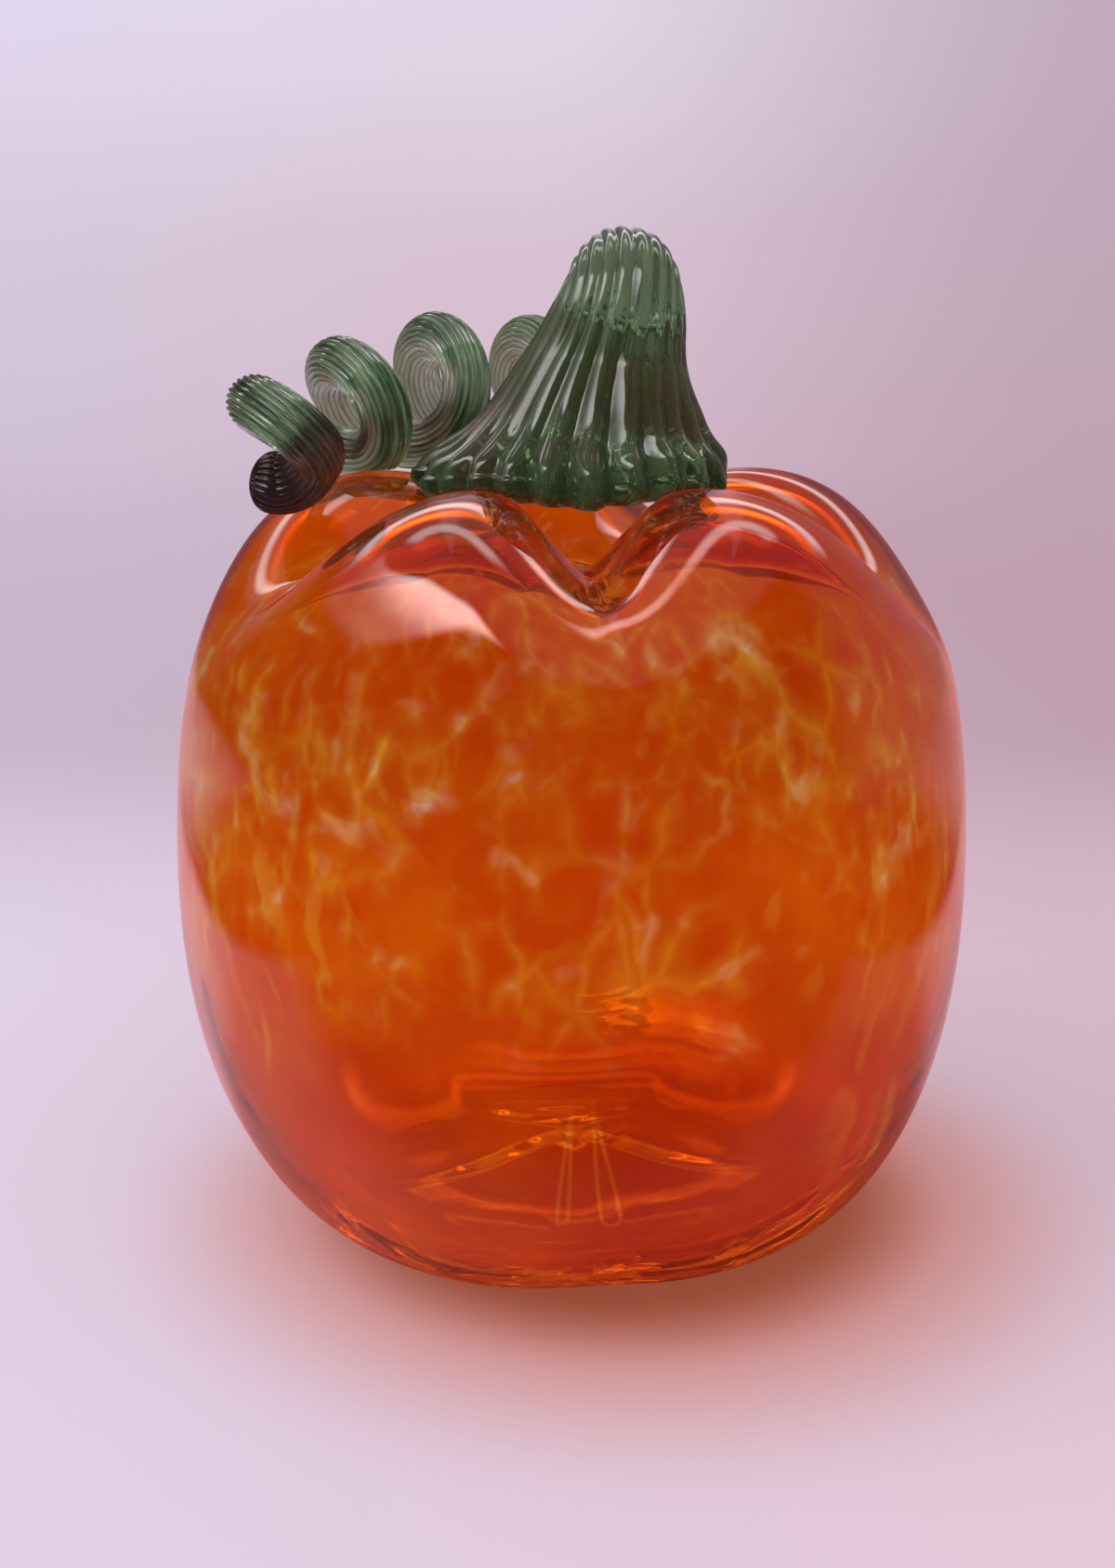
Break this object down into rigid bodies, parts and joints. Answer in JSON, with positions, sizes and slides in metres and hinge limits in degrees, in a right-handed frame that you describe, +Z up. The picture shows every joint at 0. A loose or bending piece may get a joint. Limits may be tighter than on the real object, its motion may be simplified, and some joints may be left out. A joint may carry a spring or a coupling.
{
  "type": "glass pumpkin",
  "caption": "Hand-blown clear orange glass pumpkin: hollow lobed body, solid ribbed green stem over the body's neck, and a curled ribbed green vine fused to the crown.",
  "frame": {"origin": "on the rest plane, at the middle of the bounding box seen from above, which is the body's axis", "axes": "+Z up from the ground foot to the stem, +X to the right and -Y to the front of the pumpkin, the side with the vine on the left"},
  "size_m": [0.1801, 0.1799, 0.2243],
  "materials": {
    "orange_glass": "fire-polished, clear, with mottled amber and red-orange colour in the wall",
    "green_glass": "fire-polished, dark bottle green with purple-brown streaks",
    "vine_glass": "fire-polished, grey-green with purple-brown streaks"
  },
  "bodies": {
    "root": {"body": "orange_glass", "stem": "green_glass", "vine": "vine_glass"}
  },
  "joints": []
}
